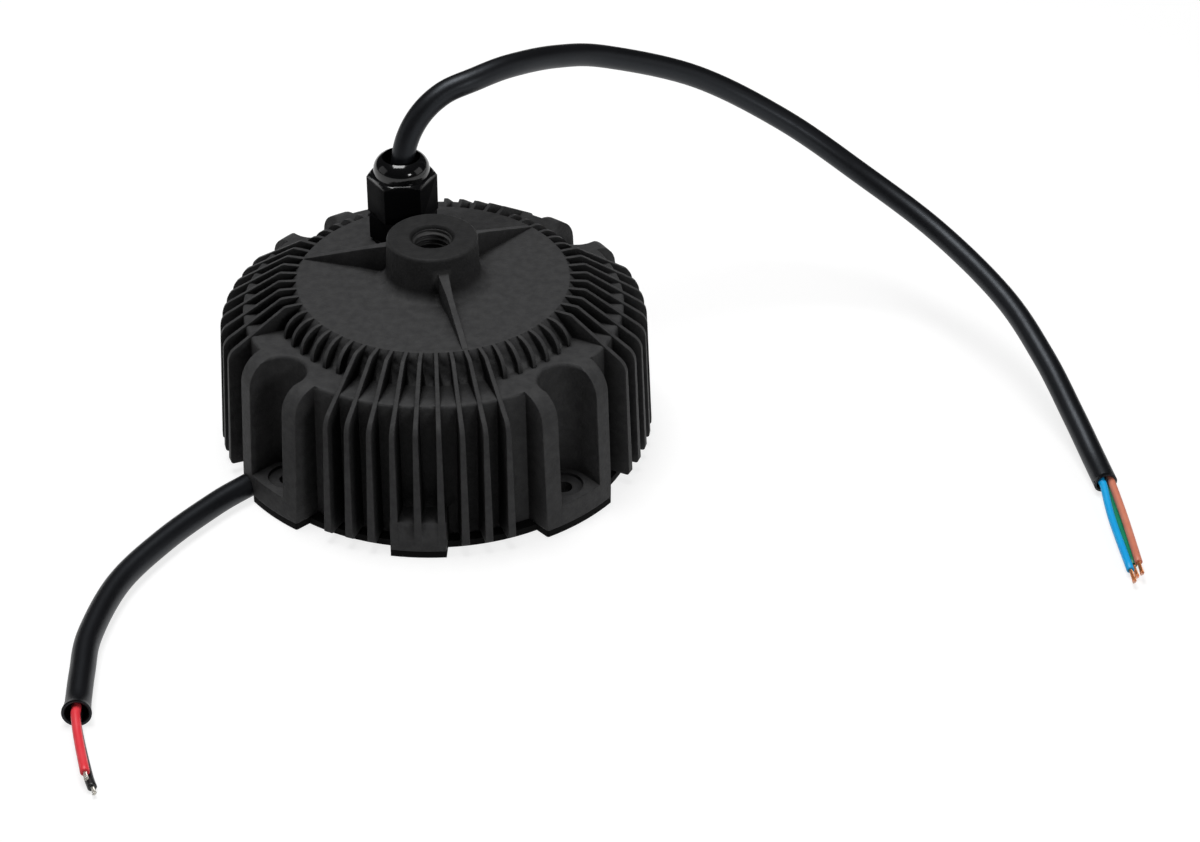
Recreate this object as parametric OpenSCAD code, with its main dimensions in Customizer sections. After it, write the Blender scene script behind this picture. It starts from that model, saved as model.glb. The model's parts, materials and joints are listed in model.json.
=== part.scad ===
// Round LED driver: a finned die-cast housing with a hanging boss, a cable gland and two cables.
// Millimetres, +Z up, origin on the resting plane at the middle of the housing, front tab towards -Y.

/* [Housing] */
// Diameter over the feet of the fins
body_d = 140; // [134:1:150]
// Height of the plateau above the resting plane
plateau_h = 57.6; // [54:0.2:64]
// Diameter of the flat plateau
plateau_d = 86; // [80:1:90]
// Diameter of the plateau's sloping foot on the shelf
plateau_foot_d = 98.6; // [92:0.2:102]
// Height of the shelf between the fins
shelf_h = 49.6; // [46:0.2:52]
// Reach of the fins' feet past the rim of the core
fin_reach = 8.5; // [6:0.1:12]
// Draft of the core wall over its height
core_draft = 1.3; // [0.5:0.1:2.5]
// Thickness of the core wall at the shelf
core_wall = 6.5; // [5:0.1:8]
// Thickness of the roof under the plateau and the shelf
roof_t = 4; // [3:0.1:6]
// Radius of the small casting edges
edge_round = 1; // [0.4:0.1:1.5]

/* [Fins] */
// Number of fin places round the housing
fin_count = 60; // [48:4:72]
// Thickness of a fin at the plateau's height
fin_top_t = 1.2; // [1:0.1:1.6]
// Thickness of a fin at its foot
fin_foot_t = 2.5; // [2:0.1:3]
// Height of the lower ends of the fins
fin_lift = 3.6; // [3:0.2:8]
// Diameter where the fin tops begin to slope
fin_bend_d = 97; // [91:1:102]
// Draft of the outer edge of a fin up to its shoulder
fin_draft = 2.3; // [0.5:0.1:6]
// Height where the slope would meet the outer edge of a fin
fin_shoulder_h = 44.6; // [38:0.2:48]
// Radius of the fin's shoulder
fin_round = 5.6; // [3:0.2:8]
// Angle on each side of an ear in which the fins stop short
ear_clear = 18; // [16:0.5:20]

/* [Ears] */
// Width of an ear
ear_w = 27; // [24:0.5:30]
// Radius of the ear's shoulder
ear_round = 8.8; // [4:0.2:10]
// Radius of the ear's upright corners
ear_corner = 0.9; // [0.5:0.1:4]
// Draft of the ear's outer face over its height
ear_draft = 2.8; // [0:0.1:3.5]
// Radius of the screw pocket
pocket_r = 8; // [7:0.1:9]
// Radius of the rounded rim of a pocket
pocket_rim = 1.3; // [0.5:0.1:2]
// Distance of the screw hole from the ear's outer face
pocket_in = 9; // [8:0.1:11]
// Least wall round a pocket inside the housing
pocket_wall = 2.6; // [2:0.1:4]
// Height of the pocket floor
floor_h = 9.7; // [8.5:0.1:14]
// Diameter of the mounting screw holes
ear_hole_d = 5.5; // [4:0.1:6.5]
// Diameter of the spot face round a screw hole
spot_d = 12.4; // [9:0.1:13]
// Depth of the spot face
spot_depth = 1.2; // [0.4:0.1:2]
// Width of the front tab
tab_w = 17.2; // [14:0.1:20]
// Height of the front tab
tab_h = 12.8; // [9:0.1:20]

/* [Hanging boss] */
// Diameter of the boss at its top
boss_d = 28.6; // [26:0.1:30]
// Rise of the boss above the plateau
boss_rise = 14.8; // [12:0.1:18]
// Radius of the fillet at the boss's foot
boss_fillet = 3.6; // [1:0.1:4.5]
// Tapping diameter of the hanging thread
thread_d = 12.4; // [10:0.1:14]
// Depth of the hanging thread
thread_depth = 13; // [10:0.5:14.5]
// Thickness of a gusset rib
rib_t = 1.9; // [1.6:0.1:3]
// Thickness of a gusset rib where it meets the boss
rib_root_t = 3.3; // [3:0.1:6]
// Rise of a gusset rib above the plateau at the boss
rib_rise = 9.8; // [5:0.1:11]
// Distance of a gusset's end from the plateau's edge
rib_end_in = 0.3; // [0.2:0.1:6]

/* [Base] */
// Thickness of the gasket
gasket_t = 2.4; // [1.5:0.1:3]
// Reach of the gasket past the rim of the core, between the ears
gasket_reach = 3.5; // [2:0.1:6]
// Thickness of the base cover
cover_t = 2; // [1.5:0.1:3]
// Width of the ledge that the cover seats on
ledge_w = 2; // [1.2:0.1:3]
// Distance of a cover screw from the edge of the cover
cover_screw_in = 3.3; // [3:0.1:4]
// Diameter of the small screws
screw_d = 3; // [2.5:0.1:3.5]
// Diameter of the small screw heads
screw_head_d = 5.6; // [5:0.1:6]
// Height of the small screw heads
screw_head_h = 1.7; // [1.2:0.1:2]
// Thickness of the insulating sheet
sheet_t = 0.4; // [0.2:0.05:0.8]

/* [Circuit board] */
// Diameter of the board
board_d = 93; // [92:1:97]
// Thickness of the board
board_t = 1.6; // [1:0.1:2.4]
// Clear height between the base cover and the board
board_gap = 5.2; // [4.5:0.1:7]
// Distance of the board posts from the middle
post_reach = 40; // [38:0.5:42]
// Diameter of the board posts
post_d = 7; // [6:0.1:8]
// Height of the transformer core
transformer_h = 27; // [20:0.5:32]
// Height of the bulk capacitors
bulk_h = 30; // [20:0.5:33]
// Diameter of the bulk capacitors
bulk_d = 18; // [12:0.5:18.5]

/* [Cable gland] */
// Distance of the gland from the middle
gland_reach = 27.6; // [27:0.1:30]
// Direction of the gland, from +X
gland_turn = 115; // [112:0.5:120]
// Width across the flats of the gland
gland_af = 19.5; // [18:0.5:20]
// Thickness of the sealing washer
washer_t = 1.2; // [0.8:0.1:2]
// Height of the body's hexagon
gland_hex_h = 8.3; // [5:0.1:10]
// Height of the nut's hexagon
nut_hex_h = 13.7; // [8:0.1:15]
// Height of the nut's dome
dome_h = 6.2; // [5:0.1:11]
// Diameter of the nut's dome
dome_d = 18; // [17:0.1:18.6]
// Diameter of the dome's mouth
mouth_d = 12.2; // [9.6:0.1:12.6]
// Diameter of the gland's thread
gland_thread_d = 15.2; // [14.6:0.1:15.6]

/* [Cables] */
// Diameter of both cables
cable_d = 7.5; // [6.5:0.1:7.8]
// Diameter of an input wire
input_wire_d = 2.4; // [1.8:0.1:2.6]
// Diameter of an output wire
output_wire_d = 2.7; // [2:0.1:3]
// Diameter of the bare strands
strand_d = 1.3; // [0.8:0.1:1.6]
// Distance of the output cable from the middle of its ear
exit_offset = 11; // [10:0.1:12]
// Thickness of the output bush
bush_t = 1.2; // [0.8:0.1:1.6]

/* [Hidden] */
$fn = 64;

// Clearances and small overlaps
fit = 0.1;
seat = 0.2;
sink = 1;
fin_drop = 0.1;
fin_root = 2;
wall_clear = 0.6;
screw_clear = 1.3;
blind_end = 2;
tip_gap = 0.5;
arc_steps = 8;

// Small rounds and depths
plateau_round = 0.4;
bend_round = 2.4;
dome_round = 5;
scallop = 1.9;
rib_flare = 9;
post_hole = 8;
post_screw_in = 6;
input_bare = 6;
output_bare = 3;
gland_seat = 0.1;

// Radii worked out from the driving diameters
body_r = body_d / 2;
plateau_r = plateau_d / 2;
foot_r = plateau_foot_d / 2;
core_rim_r = body_r - fin_reach;
core_top_r = core_rim_r - core_draft;
cavity_r = core_top_r - core_wall;
recess_r = cavity_r + ledge_w;
cover_r = recess_r - seat;
boss_r = boss_d / 2;
boss_h = plateau_h + boss_rise;
rim_h = gasket_t;
cover_top = rim_h + cover_t;
board_z = cover_top + board_gap;
board_top = board_z + board_t;
roof_z = plateau_h - roof_t;
pocket_c = body_r - pocket_in;
cover_screw_r = cover_r - cover_screw_in;
short_end_r = pocket_c - pocket_r - pocket_rim - 0.8;
fin_top = plateau_h - fin_drop;
ear_angles = [45, 135, 225, 315];
post_angles = [0, 90, 180, 270];
rib_angles = [48, 168, 288];
exit_ear = 225;
tab_angle = 270;

// Gland heights, from the plateau up
gland_x = gland_reach * cos(gland_turn);
gland_y = gland_reach * sin(gland_turn);
gland_base = plateau_h - gland_seat;
gland_z = gland_base + washer_t;
washer_d = gland_af + 1;
nut_z = gland_z + gland_hex_h;
dome_z = nut_z + nut_hex_h;
gland_top = dome_z + dome_h;
spigot_top = dome_z - 3;
seal_z = nut_z - 1;
seal_top = dome_z - 0.6;
seal_r = gland_thread_d / 2 - 1.2;
nut_turn = 6;
body_turn = 21;

// Routes of the cables, after their straight starts in the gland and in the bush
cable_r = cable_d / 2;
exit_start = pocket_c - 5;
exit_step = exit_start + 8.2;
input_route = concat(
    [for (z = [roof_z - 6, nut_z, seal_top]) [gland_x, gland_y, z]],
    [[-10, 27.5, 90.5], [-5.5, 31, 98.5], [1.5, 35, 104], [10.5, 39.5, 106.5], [21.5, 48.5, 107],
     [36, 63.5, 103], [52, 76.5, 96.5], [82, 90.5, 82.5], [112, 94, 65], [139, 88, 48.5],
     [165, 71, 36.5], [186, 44, 28], [198, 20, 20], [206.5, 0, 11], [211.5, -15, 6], [214.5, -27, 4]]);
output_route = concat(
    [for (x = [exit_start, body_r + 1]) ear_point(x, -exit_offset, cable_r + fit)],
    [for (p = [[-66, -52], [-78, -70], [-88, -91], [-92, -115], [-91, -132], [-89, -150]])
        [p[0], p[1], cable_r + fit]]);
input_end = last(input_route);
output_end = last(output_route);
input_way = unit(input_end - input_route[len(input_route) - 2]);
output_way = unit(output_end - output_route[len(output_route) - 2]);
neutral_route = wire_route(input_end, input_way, 1.5, 0.8, [[214, -44, 2.8], [217, -69, 2.6]]);
live_route = wire_route(input_end, input_way, -1.5, 0.8, [[218.4, -44, 3.2], [219.8, -66, 3.3]]);
earth_route = wire_route(input_end, input_way, 0, -1.6, [[216.3, -44, 1.3], [218.6, -65, 1.25]]);
positive_route = wire_route(output_end, output_way, 0, 1.4, [[-86.5, -160, 4.3], [-82, -173.5, 4.2]]);
negative_route = wire_route(output_end, output_way, 0, -1.4,
                            [[-86.5, -160, 1.5], [-82.2, -172, 1.45], [-80, -176.5, 1.45]]);

// Last entry of a list
function last(v) = v[len(v) - 1];

// Vector of length one
function unit(v) = v / norm(v);

// Point in the frame of the ear that the output cable leaves by
function ear_point(x, y, z) =
    [x * cos(exit_ear) - y * sin(exit_ear), x * sin(exit_ear) + y * cos(exit_ear), z];

// Wire that leaves a cable's end face, sideways and up by so much, and runs on through its own points
function wire_route(end, way, side, up, points) =
    let (across = unit(cross(way, [0, 0, 1])),
         above = cross(across, way),
         start = end + across * side + above * up)
    concat([start + way * 0.05, start + way * 4], points);

// Arc that rounds the corner q between p and s
function corner_arc(p, q, s, r) =
    let (u = unit(p - q), v = unit(s - q), half = acos(u * v) / 2,
         c = q + unit(u + v) * r / sin(half),
         from = q + u * r / tan(half) - c, to = q + v * r / tan(half) - c,
         a = atan2(from[1], from[0]), turn = atan2(to[1], to[0]) - a,
         sweep = turn > 180 ? turn - 360 : turn < -180 ? turn + 360 : turn)
    [for (i = [0 : arc_steps]) c + r * [cos(a + sweep * i / arc_steps), sin(a + sweep * i / arc_steps)]];

// Outline with its corners rounded by the radius in each point's third place
function rounded(points) =
    let (n = len(points), flat = [for (p = points) [p[0], p[1]]])
    [for (i = [0 : n - 1])
        each points[i][2] == 0 ? [flat[i]]
            : corner_arc(flat[(i + n - 1) % n], flat[i], flat[(i + 1) % n], points[i][2])];

// Smooth curve through a route's points, with so many steps to each stretch
function curve_point(a, b, c, d, t) =
    0.5 * ((2 * b) + (c - a) * t + (2 * a - 5 * b + 4 * c - d) * t * t + (3 * b - a - 3 * c + d) * t * t * t);
function curve(route, steps) =
    let (n = len(route))
    concat([for (i = [0 : n - 2], k = [0 : steps - 1])
        curve_point(i == 0 ? 2 * route[0] - route[1] : route[i - 1], route[i], route[i + 1],
                    i == n - 2 ? 2 * route[n - 1] - route[n - 2] : route[i + 2], k / steps)], [last(route)]);

// Tube swept along a route as one closed solid
module tube(route, d, sides, steps) {
    path = curve(route, steps);
    n = len(path);
    points = [for (i = [0 : n - 1])
        let (way = unit(path[min(i + 1, n - 1)] - path[max(i - 1, 0)]),
             side = unit(cross(way, abs(way[2]) > 0.9 ? [0, 1, 0] : [0, 0, 1])),
             above = cross(side, way))
        for (k = [0 : sides - 1])
            path[i] + d / 2 * (side * cos(360 * k / sides) + above * sin(360 * k / sides))];
    walls = [for (i = [0 : n - 2], k = [0 : sides - 1])
        let (a = i * sides + k, b = i * sides + (k + 1) % sides)
        each [[a, b, a + sides], [b, b + sides, a + sides]]];
    first_cap = [for (k = [0 : sides - 1]) sides - 1 - k];
    last_cap = [for (k = [0 : sides - 1]) (n - 1) * sides + k];
    polyhedron(points, concat([first_cap], walls, [last_cap]));
}

// Outline of the solid core, from the rim over the shelf and the plateau to the boss
core_outline = rounded([
    [0, rim_h, 0], [core_rim_r, rim_h, 0], [core_top_r, shelf_h, edge_round], [foot_r, shelf_h, 0],
    [plateau_r, plateau_h, plateau_round], [boss_r + 0.6, plateau_h, boss_fillet],
    [boss_r, boss_h, edge_round], [0, boss_h, 0]]);

// Outline of the hollow under the roof, down into the recess that the base cover seats in
cavity_outline = [
    [0, cover_top - sink], [cavity_r, cover_top - sink],
    [cavity_r, shelf_h - roof_t], [foot_r - roof_t * 0.75, shelf_h - roof_t],
    [plateau_r - roof_t * 0.75, roof_z], [0, roof_z]];

// Outline that bounds the ears and the tab
ear_outline = rounded([
    [0, rim_h, 0], [body_r, rim_h, 0], [body_r - ear_draft, shelf_h, ear_round], [0, shelf_h, 0]]);

// Plan of an ear, with its two outer corners rounded
corner_reach = body_r + fit - ear_corner;
corner_y = ear_w / 2 - ear_corner;
corner_x = sqrt(corner_reach * corner_reach - corner_y * corner_y);
corner_turn = atan2(corner_y, corner_x);
ear_side = [for (i = [0 : arc_steps])
    let (a = 90 + (corner_turn - 90) * i / arc_steps)
    [corner_x + ear_corner * cos(a), corner_y + ear_corner * sin(a)]];
ear_plan = concat(
    [[cavity_r - sink, ear_w / 2]], ear_side, [[body_r + 4, ear_side[arc_steps][1]]],
    [[body_r + 4, -ear_side[arc_steps][1]]],
    [for (i = [0 : arc_steps]) [ear_side[arc_steps - i][0], -ear_side[arc_steps - i][1]]],
    [[cavity_r - sink, -ear_w / 2]]);

// Side outlines of a full fin and of a short one
fin_outline = rounded([
    [core_top_r - fin_root, fin_lift, 0], [body_r, fin_lift, edge_round],
    [body_r - fin_draft, fin_shoulder_h, fin_round], [fin_bend_d / 2, fin_top, bend_round],
    [plateau_r - fin_root, fin_top, 0], [plateau_r - fin_root, shelf_h - sink, 0],
    [core_top_r - fin_root, shelf_h - sink, 0]]);
short_fin_round = min(fin_top - shelf_h - 0.5, short_end_r - plateau_r + fin_root - fit);
short_fin_outline = rounded([
    [plateau_r - fin_root, shelf_h - sink, 0], [short_end_r, shelf_h - sink, 0],
    [short_end_r, fin_top, short_fin_round], [plateau_r - fin_root, fin_top, 0]]);

// Angle between a direction and the nearest ear
function from_ear(angle) = min([for (a = ear_angles) abs((angle - a + 540) % 360 - 180)]);

// One fin: its side outline, cut to the taper of the casting
module fin(outline) {
    half_top = fin_top_t / 2;
    half_foot = fin_foot_t / 2;
    lean = (half_foot - half_top) / (plateau_h - fin_lift);
    intersection() {
        rotate([90, 0, 0])
            linear_extrude(height = 2 * fin_foot_t, center = true)
                polygon(outline);
        rotate([90, 0, 90])
            linear_extrude(height = body_d)
                polygon([[-half_foot - lean, fin_lift - 1], [half_foot + lean, fin_lift - 1],
                         [half_top - lean, plateau_h + 1], [lean - half_top, plateau_h + 1]]);
    }
}

// All fins: full ones between the ears, short ones behind the pockets
module fins() {
    for (i = [0 : fin_count - 1]) {
        angle = tab_angle + 360 * i / fin_count;
        rotate([0, 0, angle])
            if (from_ear(angle % 360) > ear_clear)
                fin(fin_outline);
            else
                fin(short_fin_outline);
    }
}

// Ears and front tab, bounded by one turned outline
module ears() {
    intersection() {
        rotate_extrude($fn = 180)
            polygon(ear_outline);
        union() {
            for (a = ear_angles)
                rotate([0, 0, a])
                    linear_extrude(height = plateau_h)
                        polygon(ear_plan);
            rotate([0, 0, tab_angle])
                translate([core_top_r - fin_root, -tab_w / 2, 0])
                    cube([body_r, tab_w, tab_h]);
        }
    }
}

// Gusset ribs between the boss and the plateau's edge
module ribs() {
    rib_end = plateau_r - rib_end_in;
    for (a = rib_angles)
        rotate([0, 0, a])
            intersection() {
                rotate([90, 0, 0])
                    linear_extrude(height = 2 * rib_root_t, center = true)
                        polygon([[boss_r - 3, plateau_h - sink], [rib_end, plateau_h - sink],
                                 [rib_end, plateau_h + 0.2], [boss_r - 3, plateau_h + rib_rise + 1]]);
                translate([0, 0, plateau_h - 2 * sink])
                    linear_extrude(height = boss_rise)
                        polygon([[boss_r - 4, rib_root_t / 2], [boss_r, rib_root_t / 2],
                                 [boss_r + rib_flare, rib_t / 2], [body_r, rib_t / 2],
                                 [body_r, -rib_t / 2], [boss_r + rib_flare, -rib_t / 2],
                                 [boss_r, -rib_root_t / 2], [boss_r - 4, -rib_root_t / 2]]);
            }
}

// Hollow inside the housing, less the pocket walls and the board posts
module cavity() {
    difference() {
        rotate_extrude($fn = 180)
            polygon(cavity_outline);
        for (a = ear_angles)
            rotate([0, 0, a])
                translate([pocket_c, 0, 0])
                    cylinder(r = pocket_r + pocket_wall, h = plateau_h);
        for (a = post_angles)
            rotate([0, 0, a])
                translate([post_reach, 0, board_top])
                    cylinder(d = post_d, h = plateau_h);
    }
}

// Outline that rounds the rim of a pocket
rim_outline = concat(
    [[0, shelf_h - pocket_rim]],
    [for (i = [0 : arc_steps])
        let (a = 90 * i / arc_steps)
        [pocket_r + pocket_rim * (1 - cos(a)), shelf_h - pocket_rim * (1 - sin(a))]],
    [[pocket_r + pocket_rim, plateau_h], [0, plateau_h]]);

// Screw pocket of one ear, with its spot face and through hole
module pocket() {
    translate([pocket_c, 0, floor_h])
        cylinder(r = pocket_r, h = plateau_h);
    translate([pocket_c, -pocket_r, floor_h])
        cube([body_r, 2 * pocket_r, plateau_h]);
    translate([pocket_c, 0, 0])
        rotate_extrude()
            polygon(rim_outline);
    translate([pocket_c, 0, floor_h - spot_depth])
        cylinder(d = spot_d, h = plateau_h);
    translate([pocket_c, 0, -sink])
        cylinder(d = ear_hole_d, h = plateau_h);
}

// Arched passage for the output cable, open downwards
module exit_arch(r, from, to) {
    rotate([0, 0, exit_ear])
        translate([from, -exit_offset, cable_r + fit]) {
            rotate([0, 90, 0])
                cylinder(r = r, h = to - from);
            translate([0, -r, -2 * cable_d])
                cube([to - from, 2 * r, 2 * cable_d]);
        }
}

module housing() {
    color("#3b3c3e")
    difference() {
        union() {
            rotate_extrude($fn = 180)
                polygon(core_outline);
            fins();
            ears();
            ribs();
        }
        cavity();
        translate([0, 0, rim_h - sink])
            cylinder(r = recess_r, h = cover_t + sink, $fn = 180);
        for (a = ear_angles)
            rotate([0, 0, a]) {
                pocket();
                translate([cover_screw_r, 0, 0])
                    cylinder(d = screw_d, h = floor_h - blind_end);
            }
        for (a = post_angles)
            rotate([0, 0, a])
                translate([post_reach, 0, board_top - sink])
                    cylinder(d = screw_d, h = post_hole + sink);
        translate([0, 0, boss_h - thread_depth])
            cylinder(d = thread_d, h = thread_depth + sink);
        translate([0, 0, boss_h - edge_round])
            cylinder(d1 = thread_d, d2 = thread_d + 4 * edge_round, h = 2 * edge_round);
        translate([gland_x, gland_y, roof_z - sink])
            cylinder(d = gland_thread_d + 2 * fit, h = roof_t + 2 * sink);
        translate([gland_x, gland_y, gland_base])
            cylinder(d = washer_d + 2 * seat, h = boss_rise);
        exit_arch(cable_r + bush_t + fit, exit_start - 9, exit_step);
        exit_arch(cable_r + fit, exit_step - sink, body_d);
    }
}

module base_gasket() {
    color("#101011")
    difference() {
        union() {
            cylinder(r = core_rim_r + gasket_reach, h = gasket_t, $fn = 180);
            intersection() {
                cylinder(r = body_r, h = gasket_t, $fn = 180);
                union() {
                    for (a = ear_angles)
                        rotate([0, 0, a])
                            translate([0, 0, -sink])
                                linear_extrude(height = gasket_t + 2 * sink)
                                    polygon(ear_plan);
                    rotate([0, 0, tab_angle])
                        translate([cavity_r, -tab_w / 2, -sink])
                            cube([body_r, tab_w, gasket_t + 2 * sink]);
                }
            }
        }
        translate([0, 0, -sink])
            cylinder(r = recess_r + seat, h = gasket_t + 2 * sink, $fn = 180);
        for (a = ear_angles)
            rotate([0, 0, a])
                translate([pocket_c, 0, -sink])
                    cylinder(d = ear_hole_d, h = gasket_t + 2 * sink);
        exit_arch(cable_r + bush_t + fit, exit_start - 9, exit_step);
        exit_arch(cable_r + fit, exit_step - sink, body_d);
    }
}

module base_cover() {
    color("#8d9094")
    difference() {
        translate([0, 0, rim_h])
            cylinder(r = cover_r, h = cover_t, $fn = 180);
        for (a = ear_angles)
            rotate([0, 0, a])
                translate([cover_screw_r, 0, 0])
                    cylinder(d = screw_d + 4 * fit, h = body_r);
    }
}

// Pan-head screw that points up, with its head below z = 0
module small_screw(length) {
    cylinder(d = screw_d - 2 * fit, h = length);
    translate([0, 0, -screw_head_h])
        cylinder(d = screw_head_d, h = screw_head_h);
}

module cover_screws() {
    color("#b9bcc0")
    for (a = ear_angles)
        rotate([0, 0, a])
            translate([cover_screw_r, 0, rim_h])
                small_screw(floor_h - rim_h - blind_end - tip_gap);
}

// Room for the pocket walls in what lies flat inside the housing
module wall_notches() {
    for (a = ear_angles)
        rotate([0, 0, a])
            translate([pocket_c, 0, 0])
                cylinder(r = pocket_r + pocket_wall + wall_clear, h = plateau_h);
}

module insulating_sheet() {
    color("#d8d2b8")
    difference() {
        translate([0, 0, cover_top])
            cylinder(r = cover_screw_r - screw_d / 2 - screw_clear, h = sheet_t);
        wall_notches();
    }
}

module circuit_board() {
    color("#1f6b3a")
    difference() {
        translate([0, 0, board_z])
            cylinder(d = board_d, h = board_t, $fn = 96);
        for (a = post_angles)
            rotate([0, 0, a])
                translate([post_reach, 0, 0])
                    cylinder(d = screw_d + 4 * fit, h = body_r);
        wall_notches();
    }
}

module board_screws() {
    color("#b9bcc0")
    for (a = post_angles)
        rotate([0, 0, a])
            translate([post_reach, 0, board_z])
                small_screw(board_t + post_screw_in);
}

// Block that stands on the board, centred on its place
module on_board(at, size) {
    translate([at[0] - size[0] / 2, at[1] - size[1] / 2, board_top])
        cube(size);
}

// Round can that stands on the board
module can_on_board(at, d, h) {
    translate([at[0], at[1], board_top])
        cylinder(d = d, h = h);
}

// Places on the board and sizes of its plain parts
fuse_at = [-36.5, 21];
fuse_d = 8.4;
fuse_h = 8;
film_at = [[1, 7], [-14, 32]];
film_size = [[18, 8.6, 14], [15, 8, 13]];
bridge_at = [15, 9];
bridge_size = [4, 15, 15];
boost_at = [-24, -18];
boost_d = 20;
boost_neck_d = 17.4;
boost_neck_h = 13;
flange_h = 3;
bulk_at = [[30, 18], [12, 28.5]];
switch_at = [[30, -13], [27, -27]];
diode_at = [[-8, -32], [13, -33]];
package = [10, 4.4, 12];
package_tab = [10, 1.3, 6];
output_can_at = [[-4, 17], [-20, -35]];
output_can_d = 8;
output_can_h = 16;
chip_at = [2.5, -31];
chip_size = [8, 4, 1.6];

module fuse() {
    color("#7a4a2a")
    can_on_board(fuse_at, fuse_d, fuse_h);
}

// Toroid of the input choke and its two windings
choke_at = [-22, 12];
choke_mid_r = 8.2;
choke_w = 4.6;
choke_h = 8;
winding_t = 1.4;

module input_choke_core() {
    color("#2f4f3f")
    translate([choke_at[0], choke_at[1], board_top + winding_t + fit])
        rotate_extrude()
            translate([choke_mid_r - choke_w / 2, 0])
                square([choke_w, choke_h]);
}

module input_choke_windings() {
    color("#b5651d")
    translate([choke_at[0], choke_at[1], board_top])
        for (a = [30, 210])
            rotate([0, 0, a])
                rotate_extrude(angle = 120)
                    translate([choke_mid_r - choke_w / 2 - winding_t - fit, 0])
                        difference() {
                            square([choke_w + 2 * (winding_t + fit), choke_h + 2 * (winding_t + fit)]);
                            translate([winding_t, winding_t])
                                square([choke_w + 2 * fit, choke_h + 2 * fit]);
                        }
}

module film_capacitors() {
    color("#c9a227")
    for (i = [0, 1])
        on_board(film_at[i], film_size[i]);
}

module bridge_rectifier() {
    color("#1c1c1c")
    on_board(bridge_at, bridge_size);
}

module boost_inductor() {
    color("#6a4b2c")
    union() {
        can_on_board(boost_at, boost_d, flange_h);
        can_on_board(boost_at, boost_neck_d, boost_neck_h + 2 * flange_h);
        translate([0, 0, flange_h + boost_neck_h])
            can_on_board(boost_at, boost_d, flange_h);
    }
}

module bulk_capacitors() {
    color("#23314f")
    for (at = bulk_at)
        can_on_board(at, bulk_d, bulk_h);
}

// Transistor body with its thin metal tab above, along x or along y
module transistor(at, along) {
    translate([at[0], at[1], board_top])
        rotate([0, 0, along ? 0 : 90])
            translate([-package[0] / 2, -package[1] / 2, 0]) {
                cube(package);
                translate([0, along ? 0 : package[1] - package_tab[1], package[2]])
                    cube(package_tab);
            }
}

module switch_transistors() {
    color("#202022")
    for (at = switch_at)
        transistor(at, false);
}

module output_diodes() {
    color("#202022")
    for (at = diode_at)
        transistor(at, true);
}

// Transformer: a ferrite frame with a middle leg, and the bobbin round that leg
core_w = 32;
core_depth = 13;
yoke_h = 5;
leg_w = 10;
side_leg_w = 4.4;
transformer_at = [6, -14];

module transformer_core() {
    window_w = (core_w - leg_w) / 2 - side_leg_w;
    color("#3a3a3a")
    translate([transformer_at[0], transformer_at[1], board_top])
        difference() {
            translate([-core_w / 2, -core_depth / 2, 0])
                cube([core_w, core_depth, transformer_h]);
            for (side = [-1, 1])
                translate([side * (leg_w + window_w) / 2 - window_w / 2, -core_depth, yoke_h])
                    cube([window_w, 2 * core_depth, transformer_h - 2 * yoke_h]);
        }
}

module transformer_bobbin() {
    window_w = (core_w - leg_w) / 2 - side_leg_w;
    coil_h = transformer_h - 2 * yoke_h - 2 * fit;
    coil_w = leg_w + 2 * window_w - 2 * fit;
    color("#c98b2b")
    translate([transformer_at[0], transformer_at[1], board_top + yoke_h + fit])
        difference() {
            translate([-coil_w / 2, -core_depth / 2 - window_w + fit, 0])
                cube([coil_w, core_depth + 2 * window_w - 2 * fit, coil_h]);
            translate([-leg_w / 2 - fit, -core_depth / 2 - fit, -sink])
                cube([leg_w + 2 * fit, core_depth + 2 * fit, coil_h + 2 * sink]);
        }
}

module output_capacitors() {
    color("#23314f")
    for (at = output_can_at)
        can_on_board(at, output_can_d, output_can_h);
}

module control_chip() {
    color("#151515")
    on_board(chip_at, chip_size);
}

// Hexagon across the flats, turned about its axis
module hexagon(af, h, turn) {
    rotate([0, 0, turn])
        cylinder(d = af / cos(30), h = h, $fn = 6);
}

module gland_washer() {
    color("#0e0e0f")
    translate([gland_x, gland_y, gland_base])
        difference() {
            cylinder(d = washer_d, h = washer_t);
            translate([0, 0, -sink])
                cylinder(d = gland_thread_d + 2 * fit, h = washer_t + 2 * sink);
        }
}

module gland_body() {
    color("#151516")
    translate([gland_x, gland_y, 0])
        difference() {
            union() {
                translate([0, 0, roof_z - 4])
                    cylinder(d = gland_thread_d, h = roof_t + washer_t + 5);
                translate([0, 0, gland_z])
                    hexagon(gland_af, gland_hex_h, body_turn);
                translate([0, 0, nut_z - sink])
                    cylinder(d = gland_thread_d, h = spigot_top - nut_z + sink);
            }
            translate([0, 0, seal_z])
                cylinder(r = seal_r + fit, h = gland_top);
            translate([0, 0, roof_z - 5])
                cylinder(d = cable_d + 1, h = gland_top);
        }
}

module gland_seal() {
    color("#0c0c0d")
    translate([gland_x, gland_y, seal_z])
        difference() {
            cylinder(r = seal_r, h = seal_top - seal_z);
            translate([0, 0, -sink])
                cylinder(r = cable_r + fit, h = seal_top);
        }
}

// Outline of the dome, turned about the gland's axis, with a rounded crown
dome_outline = rounded([
    [0, dome_z - sink, 0], [dome_d / 2, dome_z - sink, 0],
    [dome_d / 2, gland_top, dome_round], [0, gland_top, 0]]);

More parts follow.
